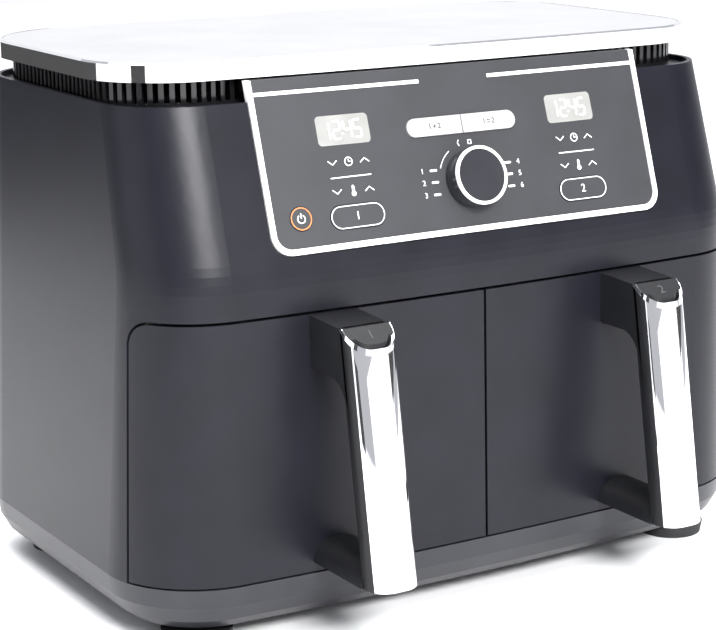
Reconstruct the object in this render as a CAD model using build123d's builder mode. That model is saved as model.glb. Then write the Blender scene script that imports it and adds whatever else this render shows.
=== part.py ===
from build123d import *
import os
from math import atan2, cos, degrees, radians, tan

# Air fryer with two drawers side by side. +X is to the right as seen from the front, +Y to the
# back, +Z up. The origin is on the resting surface, in the middle of the overall box. Millimetres.

# Overall sizes
body_width = 415.0  # across the side walls, at the base seam
body_depth = 263.5  # front to back on the middle line, at the base seam
handle_reach = 62.8  # how far the grips stand out in front of the body
rear_reach = 4.5  # how far the rear cover stands out behind the body
seam_height = 37.5  # top of the base tray
drawer_top = 183.0  # seam above the drawer fronts
shoulder_height = 293.5  # top lip of the housing
rim_bottom = 305.4
rim_height = 10.2
front_y = (handle_reach - body_depth - rear_reach) / 2
back_y = front_y + body_depth

# Shape of the outer walls
side_draft = 0.0508  # each side leans in by this much per millimetre of height
front_draft = 0.015
lean_height = 203.0  # the front leans back above this height
lean_angle = 18.85  # from the vertical, in degrees
lean_blend = 9.5  # half the height over which the lean begins
blend_steps = 4
bow_base = 8.9  # how far the front bulges at the middle, at the base seam
bow_lean = 7.7
bow_shoulder = 4.0
front_corner = 57.0  # plan radius of the front corners at the base seam
corner_taper = 0.0589  # the radius shrinks by this much per millimetre of height
back_corner = 47.0
wall = 3.0

# Seams and clearances
seam_gap = 1.6  # dark line round the drawer fronts
snug_gap = 0.15  # between pieces that are fixed together
move_gap = 0.3  # round a key or a sliding piece
shaft_gap = 0.05  # radial clearance of a shaft in its bore
seat_gap = 0.3

# Base tray and feet
foot_height = 6.7
foot_radius = 20.0
foot_x = 166.0
foot_front_inset = 39.6  # foot centre behind the front
foot_back_inset = 39.0
foot_taper = 1.2
base_screw_x = 74.7
base_screw_inset = 60.0
tray_insets = ((0.0, 0.0), (11.0, 1.6), (20.0, 6.5), (26.5, 14.5), (30.8, 27.9))  # down, in
tray_rib = 4.0

# Top plate, its bright rim and the vent ring under it
plate_half_width = 197.3
plate_front = front_y + 41.1
plate_depth = 221.3
plate_bow = 5.35
plate_front_corner = 50.5
plate_back_corner = 63.0
rim_wall = 2.5
rim_ledge = 14.0
rim_chamfer = 1.0
plate_thickness = 3.0
vent_inset = 7.5
vent_wall = 5.0
vent_pitch = 5.5
vent_slot = 3.0
vent_border = 2.6
deck_drop = 3.0  # the deck lies this far under the shoulder lip
deck_inset = 24.0

# Drawers
drawer_x = 97.2  # centre of each drawer's grip, basket and cavity
side_seam_inset = 43.6  # the drawer fronts wrap round the sides this far
side_seam_corner = 14.0
drawer_skin = 3.0
drawer_block_y = front_y + 27.0  # flat back of the drawer front
pocket_edge = 15.0  # the hollow in its back stops this far from the top and the bottom
pocket_side = 8.0  # and this far inside the basket's sides
drawer_lift = 1.1  # the drawer fronts clear the base tray by this much
basket_half_width = 78.0
basket_depth = 215.0
basket_height = 128.0
basket_wall = 1.8
basket_corner = 18.0
basket_lip = 1.6
crisper_gap = 1.4
crisper_lift = 12.0
crisper_thickness = 2.0
crisper_hole = 4.2
bumper_radius = 5.0

# Grips
grip_x = 96.2  # each grip stands this far from the middle line
grip_width = 29.5
grip_top_front = front_y - 42.2  # front of the bright cover, at the top
grip_bottom_front = front_y - handle_reach
grip_front_top = 171.3
grip_bottom = 44.0
grip_crown = 2.8  # the front of the cover bulges by this much
cover_depth = 6.0  # the cover wraps only the front of the grip
cover_wall = 1.6
cover_corner = 9.5
core_depth = 18.0
core_corner = 5.0
arm_side_height = 17.2  # straight sides of the upper arm
arm_belly = 14.0  # rounded underside of the upper arm
arm_drop = 0.8  # top of the arm under the drawer seam
cap_slope_back = 13.3  # the sloping end of the cap starts this far behind the front
arm_root = 10.0  # the arm and the strut start this far inside the drawer front
cap_fall = 1.4  # the top of the arm falls by this much towards the cap
strut_half_width = 16.0
strut_height = 13.0

# Cavities
cavity_half_width = 81.5
cavity_wall = 1.2
cavity_floor = 42.0
cavity_back = back_y - 16.0
cavity_roof = 186.0
chamber_roof = 226.0
chamber_front = front_y + 52.6
chamber_corner = 8.0
frame_front_y = front_y + 28.6
frame_wall = 3.0
frame_inset = 4.8
frame_depth = 16.4
divider_thickness = 2.0
switch_nub = 0.9

# Fans, heaters and motors
fan_y = 45.0
fan_radius = 56.0
fan_base = 209.0
fan_blade_height = 11.0
fan_blades = 10
hub_radius = 9.0
shaft_radius = 4.0
shaft_top = 284.0
roof_hole = 6.5
heater_radius = 62.0
heater_pitch = 14.0
heater_tube = 3.3
heater_z = 199.0
heater_post_radius = 69.0
motor_radius = 31.0
motor_base = 236.0
motor_height = 30.0
cradle_thickness = 2.0
cradle_radius = 44.0
post_radius = 3.5
cooling_base = 271.0
cooling_radius = 38.0
cooling_blade_height = 9.0
cooling_blades = 7
sensor_radius = 2.0
sensor_reach = 75.0

# Control panel, measured up the height of the front
panel_half_width = 125.6
panel_bottom = 217.8
panel_top = 304.4
panel_thickness = 3.0
panel_corner = 8.5
trim_width = 3.0
trim_proud = 0.8
trim_gap = 0.6
header_height = 297.0
header_inner = 22.3
header_width = 2.0
display_x = 75.2
display_z = 275.5
display_width = 32.4
display_height = 16.4
zone_key_z = 230.5
zone_key_width = 33.6
zone_key_height = 13.2
power_x = -109.4
power_z = 232.2
power_radius = 6.5
pair_key_z = 272.5
pair_key_width = 72.0
pair_key_height = 10.4
pair_key_gap = 0.6
key_depth = 5.0
key_proud = 0.3
pair_key_proud = 0.9
key_stem = 2.2
key_travel = 0.6
stem_gap = 0.3
window_corner = 2.5
cut_depth = 8.0  # openings are cut this far through the panel
cut_start = 2.0  # and start this far in front of it
switch_height = 3.5
switch_side = 6.2
board_depth = 14.0
board_width = 236.0
board_height = 72.0
board_thickness = 1.6
board_z = 257.0
dial_z = 242.9
dial_radius = 16.5
dial_height = 12.0
dial_lift = 1.3
dial_ring = 1.7
spindle_radius = 3.0
encoder_side = 14.0
encoder_height = 7.5

# Rear cover, inlet and boards
rear_half_width = 112.0
rear_bottom = 78.0
rear_top = 232.0
rear_corner = 14.0
rear_slot = 5.0
rear_pitch = 11.0
rear_rows = 9
rear_edge = 14.0  # solid border of the housing's back round the rear opening
rear_screw_inset = 8.0
gland_x = 150.0
gland_z = 62.0
gland_radius = 9.0
gland_neck = 6.5
cord_hole = 3.6
screw_radius = 1.9
screw_head = 3.6
screw_head_height = 1.8
power_board_z = 244.0
power_board_width = 84.0
power_board_depth = 132.0


def front_at(z):
    """Front surface on the middle line."""
    low = front_y + (z - seam_height) * front_draft
    extra = tan(radians(lean_angle)) - front_draft
    into = z - (lean_height - lean_blend)
    if into <= 0:
        return low
    if into < 2 * lean_blend:
        return low + extra * into**2 / (4 * lean_blend)
    return low + extra * (into - lean_blend)


def bow_at(z):
    """How far the front falls back between the middle line and the side walls."""
    if z < lean_height:
        share = (z - seam_height) / (lean_height - seam_height)
        return bow_base + (bow_lean - bow_base) * share
    share = (z - lean_height) / (shoulder_height - lean_height)
    return bow_lean + (bow_shoulder - bow_lean) * share


def half_width_at(z):
    return body_width / 2 - (z - seam_height) * side_draft


def shell_outline(z, inset=0.0):
    """Plan outline of the body at a height, moved in from the outer wall."""
    w = half_width_at(z) - inset
    front = front_at(z) + inset
    corner = front_corner - (z - seam_height) * corner_taper - inset
    side_y = front + bow_at(z)
    with BuildSketch(Plane.XY.offset(z)) as outline:
        with BuildLine():
            ThreePointArc((-w, side_y), (0, front), (w, side_y))
            Polyline((w, side_y), (w, back_y - inset), (-w, back_y - inset), (-w, side_y))
        make_face()
        fillet(outline.vertices().sort_by(Axis.Y)[:2], radius=corner)
        fillet(outline.vertices().sort_by(Axis.Y)[-2:], radius=back_corner - inset)
    return outline.sketch


def shell_body(low, high, inset=0.0):
    """Solid inside the outer wall, moved in by the inset, between two heights."""
    steps = [lean_height + lean_blend * (2 * i / blend_steps - 1) for i in range(blend_steps + 1)]
    levels = [low] + [z for z in steps if low < z < high] + [high]
    with BuildPart() as body:
        loft([shell_outline(z, inset) for z in levels], ruled=True)
    return body.part


def plate_outline(z, inset=0.0):
    """Plan outline of the top plate at a height, moved in."""
    w = plate_half_width - inset
    front = plate_front + inset
    back = plate_front + plate_depth - inset
    side_y = front + plate_bow
    with BuildSketch(Plane.XY.offset(z)) as outline:
        with BuildLine():
            ThreePointArc((-w, side_y), (0, front), (w, side_y))
            Polyline((w, side_y), (w, back), (-w, back), (-w, side_y))
        make_face()
        fillet(outline.vertices().sort_by(Axis.Y)[:2], radius=plate_front_corner - inset)
        fillet(outline.vertices().sort_by(Axis.Y)[-2:], radius=plate_back_corner - inset)
    return outline.sketch


def panel_plane(x, z, lift=0.0):
    """Plane on the leaning front at a place, its Z pointing out of the panel."""
    w = half_width_at(z)
    fall = 2 * bow_at(z) * x / w**2
    y = front_at(z) + bow_at(z) * (x / w) ** 2
    lean = tan(radians(lean_angle))
    return Plane(origin=(x, y, z), x_dir=(1, fall, 0), z_dir=(fall, -1, lean)).offset(lift)


def on_slope(height):
    """Length up the leaning front that rises by a height."""
    return height / cos(radians(lean_angle))


def box_between(x0, x1, y0, y1, z0, z1):
    with BuildPart(Plane((x0, y0, z0))) as block:
        Box(x1 - x0, y1 - y0, z1 - z0, align=(Align.MIN, Align.MIN, Align.MIN))
    return block.part


def save(part, name):
    part.label = name
    export_step(part, f"parts/{name}.step")
    print(name, len(part.solids()), round(part.volume))


os.makedirs("parts", exist_ok=True)
side_x = {1: -drawer_x, 2: drawer_x}  # drawer 1 is on the left

# Solids that several pieces are cut from
far = body_width
tall = rim_bottom + rim_height
seam_y = front_y + side_seam_inset
deck_top = shoulder_height - deck_drop
outer_body = shell_body(seam_height, shoulder_height)
inner_body = shell_body(seam_height - 1, deck_top - wall, wall)
lip_body = shell_body(deck_top, shoulder_height + 1, wall)
high_body = shell_body(lean_height, panel_top)
high_inner = shell_body(lean_height - 1, panel_top + 1, panel_thickness)


def drawer_zone(grow):
    """Block in front of the side seam and under the top seam, its upper back corner rounded."""
    with BuildPart() as zone:
        with BuildSketch(Plane.YZ.offset(-far)) as profile:
            top = drawer_top + grow
            back = seam_y + grow
            with BuildLine():
                Polyline((back - far, 0), (back, 0), (back, top), (back - far, top), close=True)
            make_face()
            corner = profile.vertices().sort_by(lambda v: v.Y + v.Z)[-1]
            fillet(corner, radius=side_seam_corner + grow)
        extrude(amount=2 * far)
    return zone.part


def panel_prism(half_width, bottom, corner):
    """Prism through the panel, with rounded lower corners and an open top."""
    middle = panel_plane(0, board_z)
    low = on_slope(bottom - board_z)
    high = on_slope(tall - board_z)
    with BuildPart() as prism:
        with BuildSketch(middle) as outline:
            with Locations((0, (low + high) / 2)):
                Rectangle(2 * half_width, high - low)
            fillet(outline.vertices().group_by(Axis.Z)[0], radius=corner)
        extrude(amount=30, both=True)
    return prism.part


trim_half_width = panel_half_width + trim_width
panel_body = panel_prism(panel_half_width - snug_gap, panel_bottom + snug_gap, panel_corner)
trim_inside = panel_prism(panel_half_width, panel_bottom, panel_corner)
trim_outside = panel_prism(trim_half_width, panel_bottom - trim_width, panel_corner + trim_width)
trim_room = panel_prism(
    trim_half_width + trim_gap, panel_bottom - trim_width - trim_gap, panel_corner + trim_width
)

rear_plane = Plane.XZ.offset(-back_y - rear_reach)
rear_middle = (rear_bottom + rear_top) / 2
screw_u = rear_half_width - rear_screw_inset
rear_screws_at = [(u, w) for u in (-screw_u, screw_u)
                  for w in (rear_bottom + rear_screw_inset, rear_top - rear_screw_inset)]

# Housing: side walls, back, upper front and the shoulder under the top plate
with BuildPart() as housing_shell:
    add(outer_body)
    add(inner_body, mode=Mode.SUBTRACT)
    add(lip_body, mode=Mode.SUBTRACT)
    add(shell_outline(deck_top - wall - 1, deck_inset))
    extrude(amount=deck_drop + wall + 2, mode=Mode.SUBTRACT)
    add(drawer_zone(seam_gap / 2), mode=Mode.SUBTRACT)
    add(trim_room, mode=Mode.SUBTRACT)
    with BuildSketch(Plane.XZ.offset(-back_y - 1)):
        with Locations((0, rear_middle)):
            RectangleRounded(2 * (rear_half_width - rear_edge),
                             rear_top - rear_bottom - 2 * rear_edge, rear_corner / 2)
        with Locations((gland_x, gland_z)):
            Circle(gland_neck + snug_gap)
        with Locations(*rear_screws_at):
            Circle(screw_radius + snug_gap)
    extrude(amount=wall + 2, mode=Mode.SUBTRACT)
save(housing_shell.part, "housing_shell")

# Base tray: a shallow bowl that curves in under the walls
tray_floor = foot_height + wall
tray_levels = [(seam_height - down, inset) for down, inset in tray_insets]


def tray_body(extra, lift):
    sections = []
    for z, inset in tray_levels:
        flat = shell_outline(seam_height, inset + extra)
        sections.append(flat.moved(Location((0, 0, z + lift - seam_height))))
    with BuildPart() as body:
        loft(sections, ruled=True)
    return body.part


tray_outer = tray_body(0, 0)
tray_inner = tray_body(wall, wall)
tray_ribs = [s * (drawer_x + k * (cavity_half_width - 12)) for s in (-1, 1) for k in (-1, 1)] + [0]
foot_places = [(s * foot_x, y) for s in (-1, 1)
               for y in (front_y + foot_front_inset, back_y - foot_back_inset)]
screw_places = [(s * base_screw_x, y) for s in (-1, 1)
                for y in (front_y + base_screw_inset, back_y - base_screw_inset)]
with BuildPart() as base_tray:
    add(tray_outer)
    add(tray_inner, mode=Mode.SUBTRACT)
    rib_top = cavity_floor - tray_floor
    for x in tray_ribs:
        with Locations((x, (frame_front_y + cavity_back) / 2, tray_floor)):
            Box(tray_rib, cavity_back - frame_front_y - 30, rib_top,
                align=(Align.CENTER, Align.CENTER, Align.MIN))
    with Locations(*[(x, y, foot_height - 1) for x, y in screw_places]):
        Cylinder(screw_radius + 0.1, wall + 2, mode=Mode.SUBTRACT,
                 align=(Align.CENTER, Align.CENTER, Align.MIN))
save(base_tray.part, "base_tray")

with BuildPart() as feet:
    with Locations(*[(x, y, 0) for x, y in foot_places]):
        Cone(foot_radius - foot_taper, foot_radius, foot_height,
             align=(Align.CENTER, Align.CENTER, Align.MIN))
save(feet.part, "feet")

with BuildPart() as base_screws:
    with Locations(*[(x, y, foot_height - screw_head_height) for x, y in screw_places]):
        Cylinder(screw_head, screw_head_height, align=(Align.CENTER, Align.CENTER, Align.MIN))
    with Locations(*[(x, y, foot_height) for x, y in screw_places]):
        Cylinder(screw_radius, wall + 5, align=(Align.CENTER, Align.CENTER, Align.MIN))
save(base_screws.part, "base_screws")

# Top: bright rim with a ledge, and the plate that lies in it
with BuildPart() as top_rim:
    add(plate_outline(rim_bottom))
    extrude(amount=rim_height)
    chamfer(top_rim.edges().group_by(Axis.Z)[-1], length=rim_chamfer)
    add(plate_outline(rim_bottom, rim_ledge))
    extrude(amount=rim_height, mode=Mode.SUBTRACT)
    add(plate_outline(tall - plate_thickness, rim_wall))
    extrude(amount=plate_thickness, mode=Mode.SUBTRACT)
    add(plate_outline(rim_bottom, rim_wall))
    extrude(amount=rim_height - plate_thickness - wall, mode=Mode.SUBTRACT)
save(top_rim.part, "top_rim")

with BuildPart() as top_plate:
    add(plate_outline(tall - plate_thickness, rim_wall + snug_gap))
    extrude(amount=plate_thickness - 0.2)
save(top_plate.part, "top_plate")

# Vent ring: a ribbed wall between the housing's deck and the rim's ledge
vent_top = tall - plate_thickness - wall
vent_height = vent_top - deck_top
vent_edge = plate_outline(deck_top, vent_inset + vent_wall / 2).faces()[0].outer_wire()
vent_count = int(vent_edge.length / vent_pitch)
vent_places = []
for i in range(vent_count):
    spot = vent_edge.position_at(i / vent_count)
    along = vent_edge.tangent_at(i / vent_count)
    turn = degrees(atan2(along.Y, along.X))
    vent_places.append(Location((spot.X, spot.Y, deck_top + vent_height / 2), (0, 0, turn)))
with BuildPart() as vent_ring:
    add(plate_outline(deck_top, vent_inset))
    extrude(amount=vent_height)
    add(plate_outline(deck_top, vent_inset + vent_wall))
    extrude(amount=vent_height, mode=Mode.SUBTRACT)
    with Locations(*vent_places):
        Box(vent_slot, vent_wall * 2, vent_height - 2 * vent_border, mode=Mode.SUBTRACT)
save(vent_ring.part, "vent_ring")

# Front frame: the wall behind the drawer fronts, with a window for each drawer
frame_back = frame_front_y + frame_depth
front_zone = box_between(-far, far, frame_front_y, frame_back, seam_height, drawer_top)
ledge_zone = box_between(-far, far, frame_front_y, frame_back, drawer_top, cavity_roof)
frame_room = box_between(-far, far, frame_front_y + frame_wall, frame_back, 0, far)
frame_core = shell_body(seam_height + move_gap, drawer_top, frame_inset)
frame_hollow = shell_body(seam_height, drawer_top, frame_inset + frame_wall)
ledge_core = shell_body(drawer_top, cavity_roof, wall + snug_gap)
ledge_hole = box_between(-far, far, frame_front_y + frame_wall, far, drawer_top - wall, far)
window_half = basket_half_width + 2.0
window_low = cavity_floor + cavity_wall
with BuildPart() as front_frame:
    add(frame_core & front_zone)
    add(frame_hollow & frame_room, mode=Mode.SUBTRACT)
    add((ledge_core & ledge_zone) - ledge_hole)
    for x in side_x.values():
        with Locations((x, frame_front_y, window_low)):
            Box(2 * window_half, 3 * frame_wall, drawer_top - 5 - window_low, mode=Mode.SUBTRACT,
                align=(Align.CENTER, Align.CENTER, Align.MIN))
        with Locations((x / 12, frame_front_y, drawer_top - 25)):
            Box(4, 3 * frame_wall, 4, mode=Mode.SUBTRACT)
save(front_frame.part, "front_frame")

# Cavities: a sheet metal box for each basket with a fan chamber on top
liner_front = frame_front_y + frame_wall
liner_half = cavity_half_width + cavity_wall
for number, x in side_x.items():
    with BuildPart() as liner:
        with BuildSketch(Plane.XY.offset(cavity_floor)):
            with Locations((x, (liner_front + cavity_back) / 2)):
                Rectangle(2 * liner_half, cavity_back - liner_front)
        extrude(amount=cavity_roof - cavity_floor)
        with BuildSketch(Plane.XY.offset(cavity_roof)):
            with Locations((x, (chamber_front + cavity_back) / 2)):
                RectangleRounded(2 * liner_half, cavity_back - chamber_front, chamber_corner)
        extrude(amount=chamber_roof - cavity_roof)
        with BuildSketch(Plane.XY.offset(cavity_floor + cavity_wall)):
            with Locations((x, (liner_front - cavity_wall + cavity_back) / 2)):
                Rectangle(2 * cavity_half_width, cavity_back - liner_front - cavity_wall)
        extrude(amount=cavity_roof - cavity_floor - 2 * cavity_wall, mode=Mode.SUBTRACT)
        with BuildSketch(Plane.XY.offset(cavity_roof - 2 * cavity_wall)):
            with Locations((x, (chamber_front + cavity_back) / 2)):
                RectangleRounded(2 * cavity_half_width, cavity_back - chamber_front
                                 - 2 * cavity_wall, chamber_corner - cavity_wall)
        extrude(amount=chamber_roof - cavity_roof + cavity_wall, mode=Mode.SUBTRACT)
        with Locations((x, fan_y, chamber_roof - cavity_wall / 2)):
            Cylinder(roof_hole, 2 * cavity_wall, mode=Mode.SUBTRACT)
        with Locations((x, fan_y - sensor_reach, chamber_roof - cavity_wall / 2)):
            Cylinder(sensor_radius + snug_gap, 2 * cavity_wall, mode=Mode.SUBTRACT)
    save(liner.part, f"cavity_liner_{number}")

# Heaters: two rings on three straps that hang from the chamber roof
strap_base = heater_z + heater_tube - 0.5
strap_top = strap_base + 2.5
inner_ring = heater_radius - heater_pitch
for number, x in side_x.items():
    with BuildPart() as heater:
        with Locations((x, fan_y, heater_z)):
            Torus(heater_radius, heater_tube)
            Torus(inner_ring, heater_tube)
        strap_length = heater_post_radius - inner_ring + 2 * post_radius
        with Locations((x, fan_y, (strap_base + strap_top) / 2)):
            with PolarLocations((heater_post_radius + inner_ring) / 2, 3, start_angle=30):
                Box(strap_length, 6, strap_top - strap_base)
        with Locations((x, fan_y, strap_top - 1)):
            with PolarLocations(heater_post_radius, 3, start_angle=30):
                Cylinder(post_radius - 1, chamber_roof - cavity_wall - strap_top + 1,
                         align=(Align.CENTER, Align.CENTER, Align.MIN))
    save(heater.part, f"heater_{number}")

# Fans: the hot air impeller and the cooling impeller share one shaft
for number, x in side_x.items():
    with BuildPart() as fan:
        with Locations((x, fan_y, fan_base)):
            Cylinder(fan_radius, 1.2, align=(Align.CENTER, Align.CENTER, Align.MIN))
            Cylinder(hub_radius, fan_blade_height, align=(Align.CENTER, Align.CENTER, Align.MIN))
            with PolarLocations((fan_radius + hub_radius) / 2 - 1, fan_blades):
                Box(fan_radius - hub_radius, 1.2, fan_blade_height, rotation=(0, 0, 18),
                    align=(Align.CENTER, Align.CENTER, Align.MIN))
            Cylinder(shaft_radius, shaft_top - fan_base,
                     align=(Align.CENTER, Align.CENTER, Align.MIN))
    save(fan.part, f"hot_air_fan_{number}")
    with BuildPart() as cooler:
        with Locations((x, fan_y, cooling_base)):
            Cylinder(cooling_radius, 1.2, align=(Align.CENTER, Align.CENTER, Align.MIN))
            Cylinder(hub_radius, cooling_blade_height + 1,
                     align=(Align.CENTER, Align.CENTER, Align.MIN))
            with PolarLocations((cooling_radius + hub_radius) / 2 - 1, cooling_blades):
                Box(cooling_radius - hub_radius, 1.2, cooling_blade_height, rotation=(0, 0, 20),
                    align=(Align.CENTER, Align.CENTER, Align.MIN))
            Cylinder(shaft_radius + 0.01, 3 * cooling_blade_height, mode=Mode.SUBTRACT)
    save(cooler.part, f"cooling_fan_{number}")

# Motors, each on a cradle that stands on the chamber roof
for number, x in side_x.items():
    with BuildPart() as cradle:
        with Locations((x, fan_y, motor_base - cradle_thickness)):
            Box(2 * cradle_radius, 2 * cradle_radius, cradle_thickness,
                align=(Align.CENTER, Align.CENTER, Align.MIN))
        with Locations((x, fan_y, chamber_roof)):
            with GridLocations(2 * cradle_radius - 12, 2 * cradle_radius - 12, 2, 2):
                Cylinder(post_radius, motor_base - cradle_thickness - chamber_roof,
                         align=(Align.CENTER, Align.CENTER, Align.MIN))
        with Locations((x, fan_y, motor_base)):
            Cylinder(roof_hole, 4 * cradle_thickness, mode=Mode.SUBTRACT)
    save(cradle.part, f"motor_cradle_{number}")
    with BuildPart() as motor:
        with Locations((x, fan_y, motor_base)):
            Cylinder(motor_radius, motor_height, align=(Align.CENTER, Align.CENTER, Align.MIN))
        chamfer(motor.edges().filter_by(GeomType.CIRCLE), length=2)
        with Locations((x, fan_y, motor_base)):
            Cylinder(shaft_radius + shaft_gap, 3 * motor_height, mode=Mode.SUBTRACT)
    save(motor.part, f"motor_{number}")
    with BuildPart() as sensor:
        with Locations((x, fan_y - sensor_reach, heater_z - 6)):
            Cylinder(sensor_radius, chamber_roof + 8 - heater_z + 6,
                     align=(Align.CENTER, Align.CENTER, Align.MIN))
        with Locations((x, fan_y - sensor_reach, chamber_roof)):
            Cylinder(2.5 * sensor_radius, 3, align=(Align.CENTER, Align.CENTER, Align.MIN))
    save(sensor.part, f"temperature_sensor_{number}")
    with BuildPart() as switch:
        with Locations((x / 12, liner_front, drawer_top - 25)):
            Box(8, 10, 18, align=(Align.CENTER, Align.MIN, Align.CENTER))
            Box(3, frame_wall + switch_nub, 3, align=(Align.CENTER, Align.MAX, Align.CENTER))
    save(switch.part, f"drawer_switch_{number}")

with BuildPart() as heat_divider:
    add(box_between(-divider_thickness / 2, divider_thickness / 2, liner_front + 14, cavity_back,
                    cavity_floor, chamber_roof))
    add(box_between(-6, 6, liner_front + 14, cavity_back, cavity_floor, cavity_floor + 1.5))
save(heat_divider.part, "heat_divider")

# Drawers
pocket_half = basket_half_width - pocket_side
skin_hollow = shell_body(seam_height - 1, drawer_top + 1, drawer_skin)
front_solid = shell_body(seam_height, drawer_top) & drawer_zone(-seam_gap / 2)
wrap_room = skin_hollow & box_between(-far, far, drawer_block_y, far, 0, far)
for number, x in side_x.items():
    side = 1 if x > 0 else -1
    edge = seam_gap / 2
    half = box_between(*sorted((side * edge, side * far)), -far, far,
                       seam_height + drawer_lift, far)
    with BuildPart() as drawer_front:
        add((front_solid & half) - wrap_room)
        add(skin_hollow & box_between(x - pocket_half, x + pocket_half, -far, drawer_block_y,
                                      seam_height + pocket_edge, drawer_top - pocket_edge),
            mode=Mode.SUBTRACT)
    save(drawer_front.part, f"drawer_front_{number}")

    basket_base = cavity_floor + cavity_wall + seat_gap
    middle = drawer_block_y + basket_depth / 2
    with BuildPart() as basket:
        with BuildSketch(Plane.XY.offset(basket_base)):
            with Locations((x, middle)):
                RectangleRounded(2 * basket_half_width, basket_depth, basket_corner)
        extrude(amount=basket_height)
        with BuildSketch(Plane.XY.offset(basket_base + basket_wall)):
            with Locations((x, middle)):
                RectangleRounded(2 * (basket_half_width - basket_wall - basket_lip), basket_depth
                                 - 2 * (basket_wall + basket_lip), basket_corner - basket_lip)
        extrude(amount=basket_height, mode=Mode.SUBTRACT)
        with BuildSketch(Plane.XY.offset(basket_base + basket_wall)):
            with Locations((x, middle)):
                RectangleRounded(2 * (basket_half_width - basket_wall),
                                 basket_depth - 2 * basket_wall, basket_corner)
        extrude(amount=basket_height - 2 * basket_wall - 2, mode=Mode.SUBTRACT)
    save(basket.part, f"basket_{number}")

    inside_half = basket_half_width - basket_wall - basket_lip - crisper_gap
    inside_depth = basket_depth - 2 * (basket_wall + basket_lip + crisper_gap)
    crisper_base = basket_base + basket_wall + seat_gap
    deck = crisper_base + crisper_lift
    leg_x, leg_y = 2 * inside_half - 40, inside_depth - 40
    with BuildPart() as crisper:
        with BuildSketch(Plane.XY.offset(deck)):
            with Locations((x, middle)):
                RectangleRounded(2 * inside_half, inside_depth, basket_corner - 3)
                with GridLocations(18, 18, 7, 10):
                    Circle(crisper_hole, mode=Mode.SUBTRACT)
        extrude(amount=crisper_thickness)
    save(crisper.part, f"crisper_plate_{number}")
    with BuildPart() as bumpers:
        with Locations((x, middle, crisper_base)):
            with GridLocations(leg_x, leg_y, 2, 2):
                Cylinder(bumper_radius, crisper_lift,
                         align=(Align.CENTER, Align.CENTER, Align.MIN))
    save(bumpers.part, f"crisper_feet_{number}")

# Grips: a plastic core with an upper arm and a lower strut, and a bright cover on its front
grip_rise = grip_front_top - grip_bottom
grip_lean = (grip_top_front - grip_bottom_front) / grip_rise
arm_top = drawer_top - arm_drop
cap_back = grip_top_front + cap_slope_back


def grip_section(x, inset=0.0):
    """Plan section of a grip at its foot, bulging at the front and rounded at every corner."""
    w = grip_width / 2 - inset
    front = grip_bottom_front + inset
    back = grip_bottom_front + core_depth - inset
    side_y = front + grip_crown
    with BuildSketch(Plane.XY.offset(grip_bottom)) as outline:
        with BuildLine():
            ThreePointArc((x - w, side_y), (x, front), (x + w, side_y))
            Polyline((x + w, side_y), (x + w, back), (x - w, back), (x - w, side_y))
        make_face()
        fillet(outline.vertices().sort_by(Axis.Y)[:2], radius=cover_corner - inset)
        fillet(outline.vertices().sort_by(Axis.Y)[-2:], radius=core_corner - inset)
    return outline.sketch


with BuildPart() as cap_cut:
    with BuildSketch(Plane.YZ.offset(-far)):
        with BuildLine():
            Polyline((front_y + 2 * arm_root, arm_top), (cap_back, arm_top - cap_fall),
                     (grip_top_front, grip_front_top),
                     (grip_top_front - cap_slope_back, grip_front_top - cap_slope_back),
                     (grip_top_front - cap_slope_back, far), (front_y + 2 * arm_root, far),
                     close=True)
        make_face()
    extrude(amount=2 * far)

grip_run = (0, grip_lean, 1)
run_length = (drawer_top + 10 - grip_bottom) * (1 + grip_lean**2) ** 0.5
arm_low = arm_top - arm_side_height
arm_end = grip_bottom_front + core_depth - 2 + (arm_low - arm_belly - grip_bottom) * grip_lean
strut_end = grip_bottom_front + core_depth - 3
root_plane = Plane.XZ.offset(-front_y - arm_root)
cover_back = grip_bottom_front + cover_depth
for number, side in ((1, -1), (2, 1)):
    x = side * grip_x
    with BuildPart() as grip_cover:
        with BuildSketch(Plane.XY.offset(grip_bottom)):
            add(grip_section(x))
            add(grip_section(x, cover_wall), mode=Mode.SUBTRACT)
            with Locations((x, cover_back)):
                Rectangle(far, far, align=(Align.CENTER, Align.MIN), mode=Mode.SUBTRACT)
        extrude(amount=run_length, dir=grip_run)
        add(cap_cut.part, mode=Mode.SUBTRACT)
    save(grip_cover.part, f"grip_cover_{number}")

    with BuildPart() as grip_core:
        with BuildSketch(Plane.XY.offset(grip_bottom)):
            add(grip_section(x))
            with Locations((x, cover_back + snug_gap)):
                Rectangle(far, far, align=(Align.CENTER, Align.MAX), mode=Mode.SUBTRACT)
            add(grip_section(x, cover_wall + snug_gap))
        extrude(amount=run_length, dir=grip_run)
        with BuildSketch(root_plane):
            with Locations((x, arm_low)):
                Rectangle(grip_width, arm_side_height + 4, align=(Align.CENTER, Align.MIN))
                Ellipse(grip_width / 2, arm_belly)
        extrude(amount=front_y + arm_root - arm_end)
        with BuildSketch(root_plane):
            with Locations((x, grip_bottom)):
                Ellipse(strut_half_width, strut_height)
                Rectangle(2 * far, far, align=(Align.CENTER, Align.MAX), mode=Mode.SUBTRACT)
        extrude(amount=front_y + arm_root - strut_end)
        add(cap_cut.part, mode=Mode.SUBTRACT)
        add(outer_body, mode=Mode.SUBTRACT)
    save(grip_core.part, f"grip_{number}")

# Control panel, its trim, windows and keys
lean_cos = cos(radians(lean_angle))


def pill_outline(width, height):
    with BuildSketch() as outline:
        SlotOverall(width, height)
    return outline.sketch


def half_pill_outline(side):
    with BuildSketch() as outline:
        SlotOverall(pair_key_width, pair_key_height)
        with Locations((side * pair_key_gap / 2, 0)):
            Rectangle(far, far, align=(Align.MIN if side < 0 else Align.MAX, Align.CENTER),
                      mode=Mode.SUBTRACT)
    return outline.sketch


def disc_outline(radius):
    with BuildSketch() as outline:
        Circle(radius)
    return outline.sketch


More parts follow.
